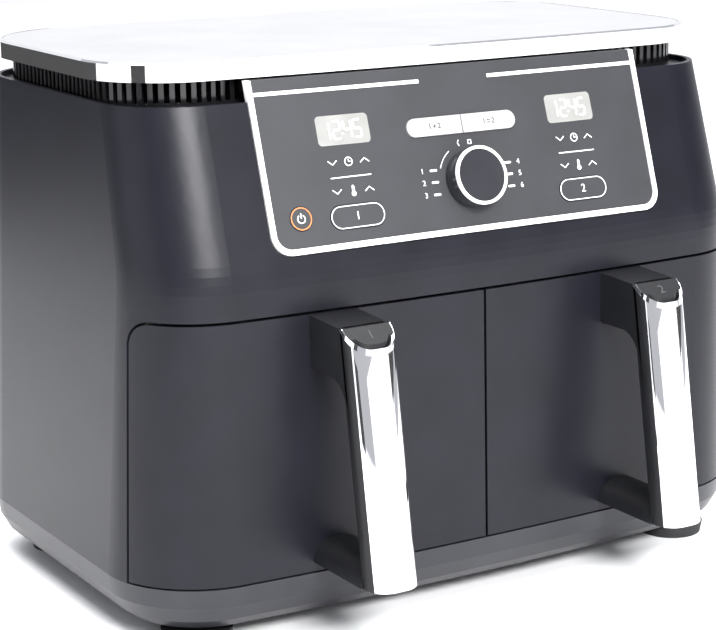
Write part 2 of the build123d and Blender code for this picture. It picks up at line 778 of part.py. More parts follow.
def window_outline():
    with BuildSketch() as outline:
        RectangleRounded(display_width, display_height, window_corner)
    return outline.sketch


def prism_on(plane, outline, high, low):
    """Solid over an outline on a panel plane, from one lift to another."""
    with BuildPart() as block:
        with BuildSketch(plane.offset(high)):
            add(outline)
        extrude(amount=low - high)
    return block.part


zone_pill = pill_outline(zone_key_width, zone_key_height)
keys = {
    "power_key": (power_x, power_z, disc_outline(power_radius), key_proud, 0),
    "zone_key_1": (-display_x, zone_key_z, zone_pill, key_proud, 0),
    "zone_key_2": (display_x, zone_key_z, zone_pill, key_proud, 0),
    "sync_key": (0, pair_key_z, half_pill_outline(-1), pair_key_proud, -pair_key_width / 4),
    "match_key": (0, pair_key_z, half_pill_outline(1), pair_key_proud, pair_key_width / 4),
}
window_planes = {1: panel_plane(-display_x, display_z), 2: panel_plane(display_x, display_z)}
dial_plane = panel_plane(0, dial_z)
board_plane = panel_plane(0, board_z, -board_depth)
boss_row = board_height / 2 - 4
boss_places = [(u, boss_row) for u in (-board_width / 2 + 6, 0, board_width / 2 - 6)]
boss_places += [(s * board_width / 5, -boss_row) for s in (-1, 1)]
bushing_radius = spindle_radius + 1.8

with BuildPart() as control_panel:
    add((high_body - high_inner) & panel_body)
    add(box_between(-panel_half_width + 1, panel_half_width - 1,
                    front_at(panel_top) + bow_at(panel_top) / 2 + panel_thickness / 2,
                    plate_front + vent_inset - snug_gap, panel_top - 3.5, panel_top - 0.5))
    with BuildSketch(board_plane):
        with Locations(*boss_places):
            Circle(post_radius)
    extrude(amount=board_depth - 2.6)
    for plane in window_planes.values():
        with BuildSketch(plane.offset(cut_start)):
            offset(window_outline(), amount=snug_gap)
        extrude(amount=-cut_depth, mode=Mode.SUBTRACT)
    for x, z, outline, proud, stem_x in keys.values():
        with BuildSketch(panel_plane(x, z, cut_start)):
            offset(outline, amount=move_gap)
        extrude(amount=-cut_depth, mode=Mode.SUBTRACT)
    with BuildSketch(dial_plane.offset(cut_start)):
        Circle(bushing_radius + snug_gap)
    extrude(amount=-cut_depth, mode=Mode.SUBTRACT)
save(control_panel.part, "control_panel")

trim_body = shell_body(lean_height, panel_top, -trim_proud)
header_planes = [panel_plane(s * (header_inner + panel_half_width) / 2, header_height)
                 for s in (-1, 1)]
with BuildPart() as panel_trim:
    add((trim_body - high_inner) & (trim_outside - trim_inside))
save(panel_trim.part, "panel_trim")

with BuildPart() as header_lines:
    for plane in header_planes:
        with BuildSketch(plane.offset(move_gap)):
            Rectangle(panel_half_width - header_inner - 1, header_width)
        extrude(amount=-1.0)
    add(high_body, mode=Mode.SUBTRACT)
save(header_lines.part, "header_lines")

for number, plane in window_planes.items():
    save(prism_on(plane, window_outline(), 0.1, -panel_thickness), f"display_window_{number}")
    with BuildPart() as module:
        with BuildSketch(plane.offset(-panel_thickness - seat_gap)):
            Rectangle(display_width + 2, display_height + 1)
        extrude(amount=-(board_depth - panel_thickness - 1.6))
    save(module.part, f"display_module_{number}")

with BuildPart() as control_board:
    with BuildSketch(board_plane):
        Rectangle(board_width, board_height)
    extrude(amount=-board_thickness)
    for x, z, outline, proud, stem_x in keys.values():
        u, v = x + stem_x, on_slope(z - board_z)
        with BuildSketch(board_plane):
            with Locations((u, v)):
                Rectangle(switch_side, switch_side)
        extrude(amount=switch_height)
    dial_v = on_slope(dial_z - board_z)
    with BuildSketch(board_plane):
        with Locations((0, dial_v)):
            Rectangle(encoder_side, encoder_side)
    extrude(amount=encoder_height)
    with BuildSketch(board_plane):
        with Locations((0, dial_v)):
            Circle(bushing_radius)
    extrude(amount=board_depth - 0.5)
    with BuildSketch(board_plane.offset(1)):
        with Locations((0, dial_v)):
            Circle(spindle_radius + shaft_gap)
    extrude(amount=board_depth, mode=Mode.SUBTRACT)
save(control_board.part, "control_board")

for name, (x, z, outline, proud, stem_x) in keys.items():
    plane = panel_plane(x, z)
    fall = bow_at(z) * ((x + stem_x) / half_width_at(z)) ** 2 * lean_cos
    stem_end = board_depth - fall - switch_height - key_travel - stem_gap
    with BuildPart() as key:
        add(prism_on(plane, outline, proud, -key_depth))
        with BuildSketch(plane.offset(-key_depth + 1)):
            with Locations((stem_x, 0)):
                Circle(key_stem)
        extrude(amount=-(stem_end - key_depth + 1))
    save(key.part, name)

# Dial: the spindle slides in the encoder, and the knob turns on the spindle
spindle_top = dial_height - 3
with BuildPart() as dial_spindle:
    with BuildSketch(dial_plane.offset(spindle_top)):
        Circle(spindle_radius)
    extrude(amount=-(spindle_top + board_depth - 2.2))
save(dial_spindle.part, "dial_spindle")

ring_inner = dial_radius - dial_ring
with BuildPart() as dial_knob:
    with BuildSketch(dial_plane.offset(dial_lift)):
        Circle(dial_radius)
    extrude(amount=dial_height - dial_lift - 1.5)
    with BuildSketch(dial_plane.offset(dial_lift)):
        Circle(ring_inner - snug_gap)
    extrude(amount=dial_height - dial_lift - 0.4)
    with BuildSketch(dial_plane.offset(dial_lift)):
        Circle(ring_inner)
        Circle(bushing_radius + 2, mode=Mode.SUBTRACT)
    extrude(amount=dial_height - dial_lift - 4, mode=Mode.SUBTRACT)
    with BuildSketch(dial_plane.offset(dial_lift)):
        Circle(spindle_radius + shaft_gap)
    extrude(amount=spindle_top + shaft_gap - dial_lift, mode=Mode.SUBTRACT)
save(dial_knob.part, "dial_knob")

with BuildPart() as ring:
    with BuildSketch(dial_plane.offset(dial_height - 1.5)):
        Circle(dial_radius)
        Circle(ring_inner, mode=Mode.SUBTRACT)
    extrude(amount=1.5)
save(ring.part, "dial_ring")

# Power board on pillars between the two motors
with BuildPart() as power_board:
    with Locations((0, fan_y, power_board_z)):
        Box(power_board_width, power_board_depth, board_thickness,
            align=(Align.CENTER, Align.CENTER, Align.MIN))
    with Locations((0, fan_y, chamber_roof)):
        with GridLocations(power_board_width - 10, power_board_depth - 10, 2, 2):
            Cylinder(post_radius - 0.5, power_board_z - chamber_roof,
                     align=(Align.CENTER, Align.CENTER, Align.MIN))
    with Locations((-14, fan_y - 20, power_board_z)):
        Box(34, 30, 24, align=(Align.CENTER, Align.CENTER, Align.MIN))
    with Locations((24, fan_y + 26, power_board_z)):
        Box(20, 28, 17, align=(Align.CENTER, Align.CENTER, Align.MIN))
    with Locations((-20, fan_y + 34, power_board_z)):
        with GridLocations(0, 18, 1, 2):
            Cylinder(7, 22, align=(Align.CENTER, Align.CENTER, Align.MIN))
save(power_board.part, "power_board")

# Rear cover with its slots, screws and the cord inlet
with BuildPart() as rear_cover:
    with BuildSketch(rear_plane):
        with Locations((0, rear_middle)):
            RectangleRounded(2 * rear_half_width, rear_top - rear_bottom, rear_corner)
    extrude(amount=rear_reach)
    with BuildSketch(rear_plane):
        with Locations((0, rear_middle)):
            with GridLocations(rear_half_width - 16, rear_pitch, 2, rear_rows):
                SlotOverall(rear_half_width - 30, rear_slot)
    extrude(amount=rear_reach, mode=Mode.SUBTRACT)
    with BuildSketch(rear_plane):
        with Locations(*rear_screws_at):
            Circle(screw_head + snug_gap)
    extrude(amount=screw_head_height + snug_gap, mode=Mode.SUBTRACT)
    with BuildSketch(rear_plane):
        with Locations(*rear_screws_at):
            Circle(screw_radius + snug_gap)
    extrude(amount=rear_reach, mode=Mode.SUBTRACT)
save(rear_cover.part, "rear_cover")

with BuildPart() as rear_screws:
    head_room = rear_reach - screw_head_height - snug_gap
    with BuildSketch(Plane.XZ.offset(-back_y - head_room - screw_head_height)):
        with Locations(*rear_screws_at):
            Circle(screw_head)
    extrude(amount=screw_head_height)
    with BuildSketch(Plane.XZ.offset(-back_y - head_room)):
        with Locations(*rear_screws_at):
            Circle(screw_radius)
    extrude(amount=head_room + wall + 3)
save(rear_screws.part, "rear_screws")

with BuildPart() as cord_inlet:
    with BuildSketch(Plane.XZ.offset(-back_y - rear_reach)):
        with Locations((gland_x, gland_z)):
            Circle(gland_radius)
    extrude(amount=rear_reach)
    with BuildSketch(Plane.XZ.offset(-back_y)):
        with Locations((gland_x, gland_z)):
            Circle(gland_neck)
    extrude(amount=wall + 6)
    with BuildSketch(Plane.XZ.offset(-back_y - rear_reach)):
        with Locations((gland_x, gland_z)):
            Circle(cord_hole)
    extrude(amount=rear_reach + wall + 6, mode=Mode.SUBTRACT)
save(cord_inlet.part, "cord_inlet")
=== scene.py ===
import math
import bpy
from mathutils import Matrix, Vector


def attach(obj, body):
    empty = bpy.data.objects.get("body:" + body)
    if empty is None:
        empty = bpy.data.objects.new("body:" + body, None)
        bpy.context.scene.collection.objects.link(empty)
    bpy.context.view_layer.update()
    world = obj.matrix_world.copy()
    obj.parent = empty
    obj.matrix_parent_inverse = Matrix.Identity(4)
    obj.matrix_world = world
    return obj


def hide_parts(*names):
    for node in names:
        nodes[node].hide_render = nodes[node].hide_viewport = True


# Air fryer with two drawers. The CAD nodes keep their shapes and get their finishes here. The grips,
# the printed marks and the rounded corners of the drawer seam are modelled in millimetres.
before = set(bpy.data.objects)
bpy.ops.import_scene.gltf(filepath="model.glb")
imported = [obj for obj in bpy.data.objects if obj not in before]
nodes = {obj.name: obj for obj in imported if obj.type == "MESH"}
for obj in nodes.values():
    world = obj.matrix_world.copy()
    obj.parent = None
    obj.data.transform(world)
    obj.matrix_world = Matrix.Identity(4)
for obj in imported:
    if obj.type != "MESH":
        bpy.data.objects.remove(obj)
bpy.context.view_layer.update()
mm = 0.001


def newMaterial(name):
    material = bpy.data.materials.new(name)
    material.use_nodes = True
    tree = material.node_tree
    shader = tree.nodes["Principled BSDF"]
    return material, tree, shader


def objectCoordinates(tree, scale):
    coordinates = tree.nodes.new("ShaderNodeTexCoord")
    mapping = tree.nodes.new("ShaderNodeMapping")
    mapping.inputs["Scale"].default_value = scale
    tree.links.new(coordinates.outputs["Object"], mapping.inputs["Vector"])
    return mapping.outputs["Vector"]


def noiseField(tree, vector, size, detail=2.0):
    noise = tree.nodes.new("ShaderNodeTexNoise")
    noise.inputs["Scale"].default_value = 1 / size
    noise.inputs["Detail"].default_value = detail
    tree.links.new(vector, noise.inputs["Vector"])
    return noise.outputs["Fac"]


# the noise stays mostly between these two values
noiseRange = (0.25, 0.75)
rampRange = (0.3, 0.7)


def spread(tree, field, low, high):
    band = tree.nodes.new("ShaderNodeMapRange")
    band.inputs["From Min"].default_value, band.inputs["From Max"].default_value = noiseRange
    band.inputs["To Min"].default_value = low
    band.inputs["To Max"].default_value = high
    tree.links.new(field, band.inputs["Value"])
    return band.outputs["Result"]


def twoTone(tree, field, first, second):
    ramp = tree.nodes.new("ShaderNodeValToRGB")
    for element, position, colour in zip(ramp.color_ramp.elements, rampRange, (first, second)):
        element.position = position
        element.color = (*colour, 1)
    tree.links.new(field, ramp.inputs["Fac"])
    return ramp.outputs["Color"]


def moulded(name, settings):
    material, tree, shader = newMaterial(name)
    even = objectCoordinates(tree, (1, 1, 1))
    tone = noiseField(tree, even, settings["mottle"])
    colour = twoTone(tree, tone, settings["dark"], settings["light"])
    tree.links.new(colour, shader.inputs["Base Color"])
    drawn = objectCoordinates(tree, settings.get("stretch", (1, 1, 1)))
    grain = noiseField(tree, drawn, settings["grain"], 3)
    tree.links.new(spread(tree, grain, *settings["roughness"]), shader.inputs["Roughness"])
    bump = tree.nodes.new("ShaderNodeBump")
    bump.inputs["Strength"].default_value = settings["bump"]
    bump.inputs["Distance"].default_value = settings["height"]
    tree.links.new(grain, bump.inputs["Height"])
    tree.links.new(bump.outputs["Normal"], shader.inputs["Normal"])
    shader.inputs["Metallic"].default_value = settings.get("metal", 0)
    shader.inputs["Specular IOR Level"].default_value = settings.get("specular", 0.5)
    return material


# one finish for every material slot of the record
finishes = {
    "charcoal_plastic": dict(dark=(0.0060, 0.0063, 0.0096), light=(0.0084, 0.0088, 0.0132),
                             mottle=0.03, grain=0.0007,
                             roughness=(0.31, 0.39), bump=0.10, height=0.00005, specular=0.21),
    "dark_plastic": dict(dark=(0.0068, 0.0070, 0.0088), light=(0.0092, 0.0095, 0.0120),
                         mottle=0.03, grain=0.0007,
                         roughness=(0.38, 0.46), bump=0.10, height=0.00005, specular=0.22),
    "black_gloss_plastic": dict(dark=(0.006, 0.006, 0.007), light=(0.010, 0.010, 0.011),
                                mottle=0.02, grain=0.001,
                                roughness=(0.12, 0.2), bump=0.03, height=0.00003),
    "grip_plastic": dict(dark=(0.0075, 0.0077, 0.009), light=(0.0105, 0.0108, 0.0125),
                         mottle=0.02, grain=0.0006,
                         roughness=(0.38, 0.46), bump=0.14, height=0.00005, specular=0.28),
    "bright_chrome": dict(dark=(0.86, 0.86, 0.87), light=(0.90, 0.90, 0.91),
                          mottle=0.05, grain=0.004,
                          roughness=(0.03, 0.06), bump=0.0, height=0.00001, metal=1),
    "satin_steel": dict(dark=(0.74, 0.74, 0.75), light=(0.80, 0.80, 0.81),
                        mottle=0.05, grain=0.0006,
                        stretch=(0.02, 1, 1), roughness=(0.26, 0.36), bump=0.08, height=0.00002, metal=1),
    "panel_plastic": dict(dark=(0.027, 0.028, 0.031), light=(0.032, 0.033, 0.037),
                          mottle=0.03, grain=0.0006,
                          roughness=(0.40, 0.46), bump=0.06, height=0.00004, specular=0.40),
    "silver_key": dict(dark=(0.44, 0.44, 0.44), light=(0.50, 0.50, 0.50), mottle=0.02, grain=0.0005,
                       roughness=(0.30, 0.38), bump=0.05, height=0.00003, metal=0.4),
    "display_lens": dict(dark=(0.22, 0.22, 0.21), light=(0.26, 0.26, 0.25),
                         mottle=0.02, grain=0.002,
                         roughness=(0.10, 0.14), bump=0.0, height=0.00001),
    "dial_plastic": dict(dark=(0.016, 0.0165, 0.020), light=(0.020, 0.0205, 0.025),
                         mottle=0.02, grain=0.0005,
                         roughness=(0.20, 0.26), bump=0.05, height=0.00003),
    "rubber_feet": dict(dark=(0.012, 0.012, 0.013), light=(0.018, 0.018, 0.019),
                        mottle=0.01, grain=0.0006,
                        roughness=(0.62, 0.74), bump=0.2, height=0.00008),
    "silicone": dict(dark=(0.16, 0.16, 0.17), light=(0.20, 0.20, 0.21), mottle=0.01, grain=0.0006,
                     roughness=(0.5, 0.6), bump=0.1, height=0.00005),
    "nonstick_coating": dict(dark=(0.035, 0.035, 0.037), light=(0.050, 0.050, 0.052),
                             mottle=0.003, grain=0.0008,
                             roughness=(0.34, 0.5), bump=0.25, height=0.00006),
    "sheet_metal": dict(dark=(0.46, 0.46, 0.47), light=(0.56, 0.56, 0.57), mottle=0.02, grain=0.001,
                        stretch=(1, 0.1, 1), roughness=(0.28, 0.42), bump=0.06, height=0.00003, metal=1),
    "heater_steel": dict(dark=(0.20, 0.19, 0.18), light=(0.30, 0.28, 0.26),
                         mottle=0.006, grain=0.001,
                         roughness=(0.35, 0.5), bump=0.1, height=0.00003, metal=1),
    "inner_plastic": dict(dark=(0.02, 0.02, 0.022), light=(0.028, 0.028, 0.030),
                          mottle=0.02, grain=0.0008,
                          roughness=(0.45, 0.55), bump=0.1, height=0.00005),
    "circuit_board": dict(dark=(0.010, 0.07, 0.03), light=(0.016, 0.10, 0.045),
                          mottle=0.004, grain=0.001,
                          roughness=(0.3, 0.4), bump=0.08, height=0.00004),
    "screw_steel": dict(dark=(0.5, 0.5, 0.5), light=(0.6, 0.6, 0.6), mottle=0.002, grain=0.0006,
                        roughness=(0.25, 0.35), bump=0.05, height=0.00002, metal=1),
}
materials = {name: moulded(name, settings) for name, settings in finishes.items()}
for node in nodes.values():
    slotName = node.material_slots[0].material.name
    if slotName in materials:
        node.material_slots[0].material = materials[slotName]

# nodes whose finish differs from the rest of their slot. The white is print on the panel trim and header
# lines and a painted reflection on the chrome dial ring; the lighter tray charcoal paints in the bright
# floor's reflection
special = {
    # white print on the panel trim and header lines; on the chrome dial ring this white is a painted
    # reflection
    "white_print_and_painted_ring_reflection": (("panel_trim", "header_lines", "dial_ring"),
                   dict(dark=(0.84, 0.84, 0.84), light=(0.90, 0.90, 0.90), mottle=0.01, grain=0.0005,
                        roughness=(0.22, 0.3), bump=0.02, height=0.00002)),
    # the body's charcoal made about three times lighter: a painted reflection of the bright floor on the
    # tray's under-curve, on top of its real raised specular
    "tray_charcoal_with_painted_floor_reflection": (("base_tray",),
                      dict(dark=(0.019, 0.0195, 0.024), light=(0.025, 0.0257, 0.031), mottle=0.03,
                           grain=0.0007, roughness=(0.33, 0.41), bump=0.10, height=0.00005, specular=0.36)),
}
for name, (wearers, settings) in special.items():
    coat = moulded(name, settings)
    for wearer in wearers:
        nodes[wearer].material_slots[0].material = coat
print("materials on", len(nodes), "frame nodes")


# modelling helpers
def alone(*objects):
    bpy.ops.object.select_all(action="DESELECT")
    for one in objects:
        one.select_set(True)
    bpy.context.view_layer.objects.active = objects[0]


def editing(shape, mode="FACE"):
    alone(shape)
    bpy.ops.object.mode_set(mode="EDIT")
    bpy.ops.mesh.select_mode(type=mode)
    bpy.ops.mesh.select_all(action="SELECT")


def objectMode():
    bpy.ops.object.mode_set(mode="OBJECT")


def settled(shape):
    if bpy.context.mode != "OBJECT":
        objectMode()
    alone(shape)
    bpy.ops.object.transform_apply(location=True, rotation=True, scale=True)
    return shape


def joined(shapes, name):
    alone(*shapes)
    if len(shapes) > 1:
        bpy.ops.object.join()
    whole = bpy.context.object
    whole.name = name
    whole.data.name = name
    return whole


def applied(piece, kind, **facts):
    modifier = piece.modifiers.new(kind.lower(), kind)
    for key, value in facts.items():
        setattr(modifier, key, value)
    alone(piece)
    bpy.ops.object.modifier_apply(modifier=modifier.name)


def finished(piece, body, paint, smoothAngle=30):
    settled(piece)
    editing(piece)
    bpy.ops.mesh.remove_doubles(threshold=0.000002)
    bpy.ops.mesh.select_all(action="SELECT")
    bpy.ops.mesh.normals_make_consistent(inside=False)
    objectMode()
    bpy.ops.object.shade_smooth_by_angle(angle=math.radians(smoothAngle))
    piece.data.materials.clear()
    piece.data.materials.append(paint)
    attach(piece, body)
    return piece


def extruded(shape, move, mode="FACE"):
    editing(shape, mode)
    bpy.ops.mesh.extrude_region_move(TRANSFORM_OT_translate={"value": move})
    objectMode()
    return shape


# Flat marks are drawn in millimetres on a sheet, x to the right and v up the slope of the panel
def bar(x, v, length, width, angle=0.0, tip=0.0, segments=1):
    bpy.ops.mesh.primitive_plane_add(size=1, location=(0, 0, 0))
    shape = bpy.context.object
    shape.scale = (length, width, 1)
    settled(shape)
    if tip:
        editing(shape, "VERT")
        bpy.ops.mesh.bevel(offset=tip, affect="VERTICES", segments=segments)
        objectMode()
    shape.rotation_euler = (0, 0, math.radians(angle))
    shape.location = (x, v, 0)
    return settled(shape)


arrow = dict(half=2.7, rise=2.2, stroke=0.5, overlap=0.4)
capShare = 0.72  # height of a figure as a share of its text size
roundShare = 0.998  # keeps the two halves of a round end from meeting


def hollowed(shape, thickness):
    editing(shape)
    bpy.ops.mesh.inset(thickness=thickness)
    bpy.ops.mesh.delete(type="FACE")
    return settled(shape)


def pill(x, v, width, height, corner, thickness):
    return hollowed(bar(x, v, width, height, tip=corner * roundShare, segments=10), thickness)


def arc(x, v, radius, thickness, start=0, end=360):
    bpy.ops.mesh.primitive_circle_add(vertices=96, radius=radius, fill_type="NGON", location=(0, 0, 0))
    shape = hollowed(bpy.context.object, thickness)
    for face in shape.data.polygons:
        angle = math.degrees(math.atan2(face.center.y, face.center.x)) % 360
        face.select = not start <= angle <= end
    if end - start < 360:
        bpy.ops.object.mode_set(mode="EDIT")
        bpy.ops.mesh.delete(type="FACE")
        objectMode()
    shape.location = (x, v, 0)
    return settled(shape)


def numeral(text, x, v, height):
    bpy.ops.object.text_add(location=(x, v, 0))
    words = bpy.context.object
    words.data.body = text
    words.data.size = height / capShare
    words.data.align_x = "CENTER"
    words.data.align_y = "CENTER"
    alone(words)
    bpy.ops.object.convert(target="MESH")
    return settled(bpy.context.object)


def chevron(x, v, pointsUp):
    half, rise, stroke = arrow["half"], arrow["rise"], arrow["stroke"]
    tilt = math.degrees(math.atan2(rise, half)) * (1 if pointsUp else -1)
    length = math.hypot(half, rise) + stroke * arrow["overlap"]
    return [bar(x - half / 2, v, length, stroke, tilt), bar(x + half / 2, v, length, stroke, -tilt)]


# Bars of each display figure: T, M and B across, L and R down the upper half, l and r down the lower half
segmentsOf = {"1": "Rr", "2": "TRMlB", "4": "LMRr", "5": "TLMrB"}
display = dict(z=275.5, places=(-10.6, -3.9, 2.9, 8.9), figures="1245", width=4.4, height=9.6, stroke=1.05,
               colon=(-0.5, 2.2, 1.0), space=0.25, tip=0.45)


def figure(digit, x, v):
    width, height, stroke = display["width"], display["height"], display["stroke"]
    places = {"T": (0, height / 2, 0), "M": (0, 0, 0), "B": (0, -height / 2, 0),
              "L": (-width / 2, height / 4, 90), "l": (-width / 2, -height / 4, 90),
              "R": (width / 2, height / 4, 90), "r": (width / 2, -height / 4, 90)}
    strokes = []
    for part in segmentsOf[digit]:
        u, w, angle = places[part]
        run = (height / 2 if angle else width) - display["space"]
        strokes.append(bar(x + u, v + w, run, stroke, angle, tip=stroke * display["tip"]))
    return strokes


panel = dict(lean=18.85, middle=(0.0, -0.08168, 0.257), far=0.02, lift=0.00004, thickness=0.00009,
             bow=7.7, bowFall=0.0409, bowFrom=203, halfWidth=207.5, draft=0.0508, seam=37.5, smooth=20)
markPaint = {
    "white": moulded("mark_white", dict(dark=(0.80, 0.80, 0.80), light=(0.88, 0.88, 0.88), mottle=0.004,
                                        grain=0.0004, roughness=(0.45, 0.55), bump=0.03, height=0.00001)),
    "orange": moulded("mark_orange", dict(dark=(0.62, 0.17, 0.05), light=(0.72, 0.22, 0.07), mottle=0.003,
                                          grain=0.0004, roughness=(0.4, 0.5), bump=0.03, height=0.00001)),
    "dark": moulded("mark_dark", dict(dark=(0.03, 0.03, 0.032), light=(0.05, 0.05, 0.052), mottle=0.003,
                                      grain=0.0004, roughness=(0.45, 0.55), bump=0.03, height=0.00001)),
    "lit": moulded("mark_lit", dict(dark=(0.93, 0.93, 0.90), light=(0.98, 0.98, 0.95), mottle=0.004,
                                    grain=0.0004, roughness=(0.3, 0.4), bump=0.0, height=0.00001)),
}


# Place up the sheet of a height on the object, with the bulge of the front taken in where x is given
def up(z, x=0.0):
    lean = math.radians(panel["lean"])
    bow = panel["bow"] - panel["bowFall"] * (z - panel["bowFrom"])
    halfWidth = panel["halfWidth"] - panel["draft"] * (z - panel["seam"])
    fall = bow * (x / halfWidth) ** 2
    return (z - panel["middle"][2] / mm) / math.cos(lean) + fall * math.sin(lean)


# Turns the sheet into the lean of the front and drops its marks on a CAD node
def printed(shapes, name, onto, body, colour):
    piece = joined(shapes, name)
    piece.scale = (mm, mm, mm)
    settled(piece)
    lean = math.radians(panel["lean"])
    normal = Vector((0, -math.cos(lean), math.sin(lean)))
    piece.rotation_euler = (math.radians(90) - lean, 0, 0)
    piece.location = Vector(panel["middle"]) + normal * panel["far"]
    applied(piece, "SHRINKWRAP", wrap_method="PROJECT", target=nodes[onto], use_project_z=True,
            use_positive_direction=False, use_negative_direction=True, offset=panel["lift"])
    applied(piece, "SOLIDIFY", thickness=panel["thickness"], offset=1)
    return finished(piece, body, markPaint[colour], panel["smooth"])


rows = dict(timeZ=259.1, lineZ=251.3, tempZ=244.1, centre=75.2, reach=9.9, lineLength=25.0, line=0.6)
clockSign = dict(radius=2.5, ring=0.5, hand=1.5, stroke=0.45, rise=0.7, shift=0.6)
heatSign = dict(width=1.5, height=4.2, corner=0.75, ring=0.4, rise=0.8, bulb=1.4, bulbRing=1.3, drop=1.8)
keyMarks = dict(zoneZ=230.5, zoneWidth=32.8, zoneHeight=12.4, zoneRing=0.5, zoneFigure=4.6, powerX=-109.4,
                powerZ=232.2, ring=6.2, ringWidth=0.6, icon=2.5, iconRing=0.55, iconDrop=0.2,
                iconGap=(60, 120), stem=3.0, stemRise=1.5, stemWidth=0.6)
dashes = dict(left=-23.4, right=26.2, zs=(249.4, 243.1, 236.6), length=4.6, width=1.25, tip=0.6,
              figureGap=7.2, figure=3.0)
dialMark = dict(z=242.9, radius=20.3, ring=0.45, sector=(122, 158), startX=-4.2, stopX=3.4, stroke=0.5,
                startRun=2.0, startTilt=60, startHigh=1.3, startLow=0.4, stopSide=2.6, stopCorner=0.2,
                stopRise=0.5)
pairMarks = dict(z=272.5, centre=18.0, reach=3.0, figure=3.2, run=2.2, stroke=0.45, equals=0.7)

marks = []
for side in (-1, 1):
    x = side * rows["centre"]
    for z in (rows["timeZ"], rows["tempZ"]):
        marks += chevron(x - rows["reach"], up(z), False)
        marks += chevron(x + rows["reach"], up(z), True)
        if z == rows["timeZ"]:
            hand, stroke = clockSign["hand"], clockSign["stroke"]
            marks.append(arc(x, up(z), clockSign["radius"], clockSign["ring"]))
            marks.append(bar(x, up(z) + clockSign["rise"], hand, stroke, 90))
            marks.append(bar(x + clockSign["shift"], up(z), hand, stroke))
        else:
            marks.append(pill(x, up(z) + heatSign["rise"], heatSign["width"], heatSign["height"],
                              heatSign["corner"], heatSign["ring"]))
            marks.append(arc(x, up(z) - heatSign["drop"], heatSign["bulb"], heatSign["bulbRing"]))
    marks.append(bar(x, up(rows["lineZ"]), rows["lineLength"], rows["line"]))
for side, figures in ((-1, "123"), (1, "456")):
    x = dashes["left"] if side < 0 else dashes["right"]
    for z, text in zip(dashes["zs"], figures):
        marks.append(bar(x, up(z), dashes["length"], dashes["width"], tip=dashes["tip"], segments=4))
        marks.append(numeral(text, x + side * dashes["figureGap"], up(z), dashes["figure"]))
marks.append(arc(0, up(dialMark["z"]), dialMark["radius"], dialMark["ring"], *dialMark["sector"]))
top = up(dialMark["z"]) + dialMark["radius"]
for v, tilt in ((top + dialMark["startHigh"], dialMark["startTilt"]),
                (top - dialMark["startLow"], -dialMark["startTilt"])):
    marks.append(bar(dialMark["startX"], v, dialMark["startRun"], dialMark["stroke"], tilt))
marks.append(pill(dialMark["stopX"], top + dialMark["stopRise"], dialMark["stopSide"], dialMark["stopSide"],
                  dialMark["stopCorner"], dialMark["stroke"]))
printed(marks, "panel_marks", "control_panel", "housing", "white")

for number, side in ((1, -1), (2, 1)):
    x = side * rows["centre"]
    key = f"zone_key_{number}"
    v = up(keyMarks["zoneZ"], x)
    border = pill(x, v, keyMarks["zoneWidth"], keyMarks["zoneHeight"], keyMarks["zoneHeight"] / 2,
                  keyMarks["zoneRing"])
    word = numeral(str(number), x, v, keyMarks["zoneFigure"])
    printed([border, word], f"zone_mark_{number}", key, key, "white")

    v = up(display["z"], x)
    clock = []
    for digit, u in zip(display["figures"], display["places"]):
        clock += figure(digit, x + u, v)
    shift, rise, dot = display["colon"]
    clock += [bar(x + shift, v + w, dot, dot) for w in (-rise, rise)]
    printed(clock, f"clock_figures_{number}", f"display_window_{number}", "housing", "lit")

x = keyMarks["powerX"]
v = up(keyMarks["powerZ"], x)
printed([arc(x, v, keyMarks["ring"], keyMarks["ringWidth"])], "power_ring", "power_key", "power_key",
        "orange")
low, high = keyMarks["iconGap"]
powerSign = [arc(x, v - keyMarks["iconDrop"], keyMarks["icon"], keyMarks["iconRing"], start, end)
             for start, end in ((0, low), (high, 360))]
powerSign.append(bar(x, v + keyMarks["stemRise"], keyMarks["stem"], keyMarks["stemWidth"], 90))
printed(powerSign, "power_mark", "power_key", "power_key", "white")

# a plus between the figures on the left key, an equals sign on the right key
v = up(pairMarks["z"])
run, stroke = pairMarks["run"], pairMarks["stroke"]
for name, side in (("sync", -1), ("match", 1)):
    x = side * pairMarks["centre"]
    sign = [numeral("1", x - pairMarks["reach"], v, pairMarks["figure"])]
    if name == "sync":
        sign += [bar(x, v, run, stroke), bar(x, v, run, stroke, 90)]
    else:
        sign += [bar(x, v + pairMarks["equals"], run, stroke), bar(x, v - pairMarks["equals"], run, stroke)]
    sign.append(numeral("2", x + pairMarks["reach"], v, pairMarks["figure"]))
    printed(sign, f"{name}_mark", f"{name}_key", f"{name}_key", "dark")
print("panel marks done")


grip = dict(x=96.2, width=29.5, depth=18.0, bottom=44.0, frontBottom=-165.4, lean=0.1618, high=190.0,
            corner=11.5, backCorner=4.0, cornerShare=0.6, gap=0.9, root=-97.0, coverDepth=6.0,
            coverWall=1.6, coverGap=0.3, coverEdge=0.3, tailDepth=15.5, tailWall=0.5,
            tailPoint=(0, -127.5, 180.75), tailNormal=(0, 0.584, -0.812), tailOffset=-0.8,
            slopeAngle=35.54, slopePoint=(0, -131.5, 180.8), drops=(0.0, 0.03, 0.06), strutHalf=16.0,
            strutHeight=13.0, strutInside=3)
arm = dict(top=182.2, end=(-131.5, 180.8), inside=(-131.8, 178.0), belly=151.0, bellyRound=11.5,
           fillet=13.0, edge=0.7, foot=112, footInside=1.0, footDepth=4.6)
gripFigure = dict(height=6.0, thickness=0.12, y=-136.8, z=177.01, lift=0.05)
slope = math.radians(grip["slopeAngle"])
topNormal = (0, -0.0406, 1.0)
slopeNormal = (0, -math.sin(slope), math.cos(slope))


def pickVertices(shape, wanted):
    editing(shape, "VERT")
    bpy.ops.mesh.select_all(action="DESELECT")
    objectMode()
    for vertex in shape.data.vertices:
        vertex.select = wanted(vertex.co)
    bpy.ops.object.mode_set(mode="EDIT")


